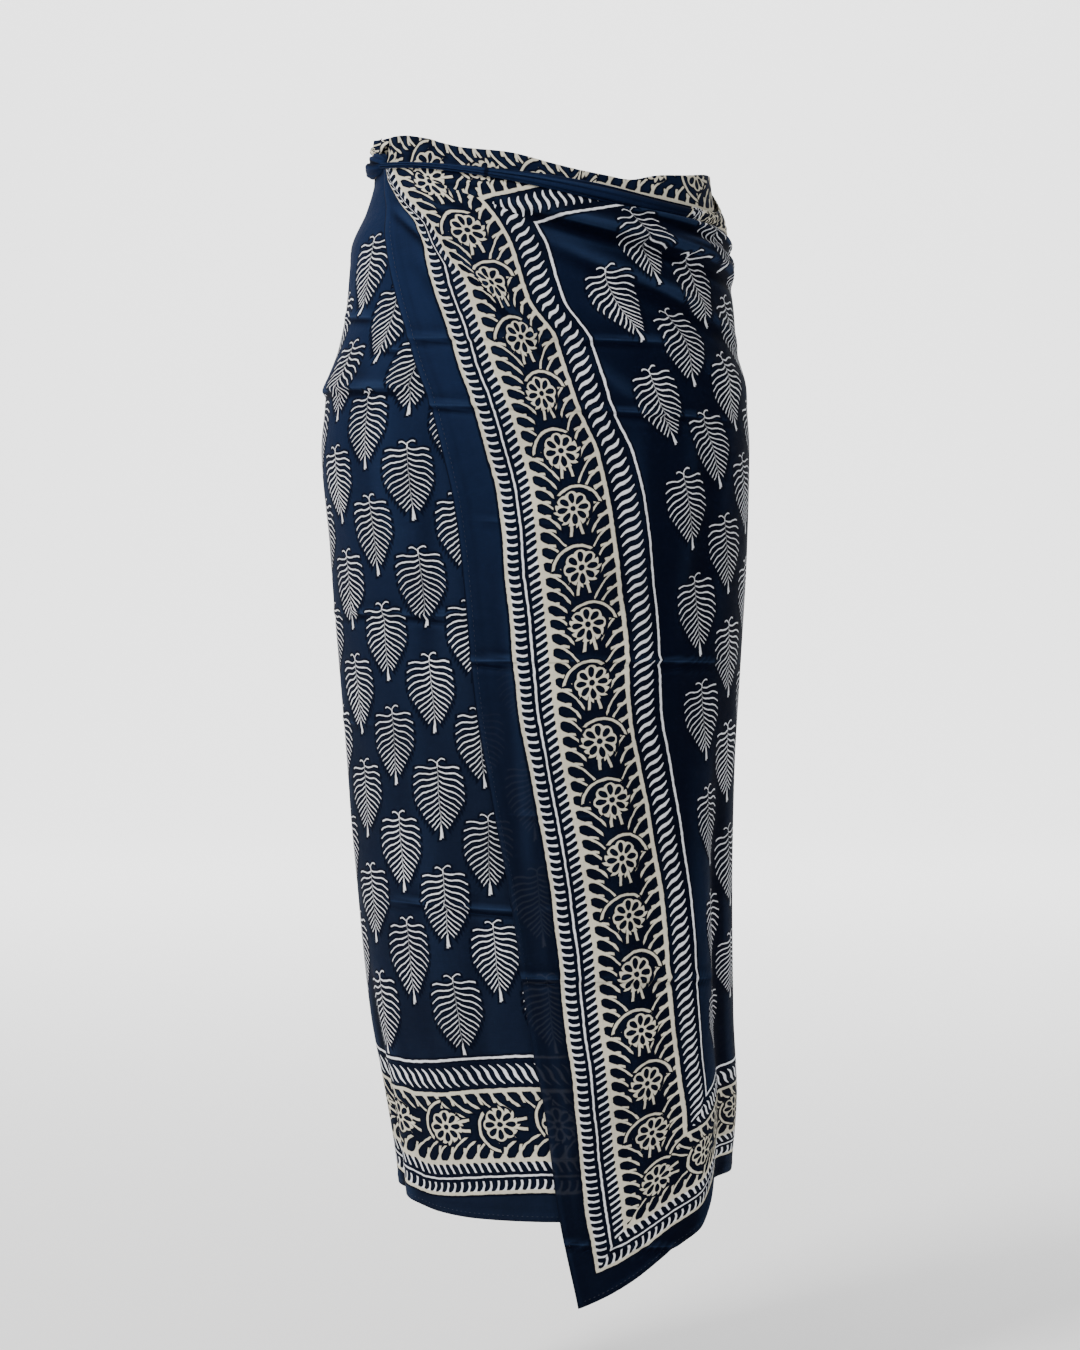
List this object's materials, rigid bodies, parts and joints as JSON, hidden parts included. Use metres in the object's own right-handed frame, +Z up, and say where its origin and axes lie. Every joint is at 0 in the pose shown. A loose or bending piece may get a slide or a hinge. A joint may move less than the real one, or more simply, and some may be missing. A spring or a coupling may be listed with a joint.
{
  "type": "wrapped sarong, worn form",
  "caption": "Ankle-length wound cotton sarong in its worn hollow form, rolled at the waist and knotted on one hip, with an indigo leaf print and a vine border.",
  "frame": {"origin": "centre of the waist, where the wearer holds the cloth up", "axes": "+Z up through the waist, -Y to the wearer's front, +X to the viewer's right"},
  "size_m": [0.3756, 0.2535, 1.001],
  "materials": {
    "printed_cotton": "matt indigo cotton with a pale leaf print",
    "border_cotton": "matt indigo cotton with a pale vine border",
    "plain_cotton": "matt plain indigo cotton",
    "cotton_inside": "matt reverse of the printed cotton"
  },
  "bodies": {
    "root": {"over_panel": "printed_cotton", "back_wrap": "printed_cotton", "side_wrap": "printed_cotton", "inner_lap": "cotton_inside", "top_band": "border_cotton", "waist_roll": "plain_cotton", "knot": "plain_cotton", "knot_end": "border_cotton"}
  },
  "joints": []
}
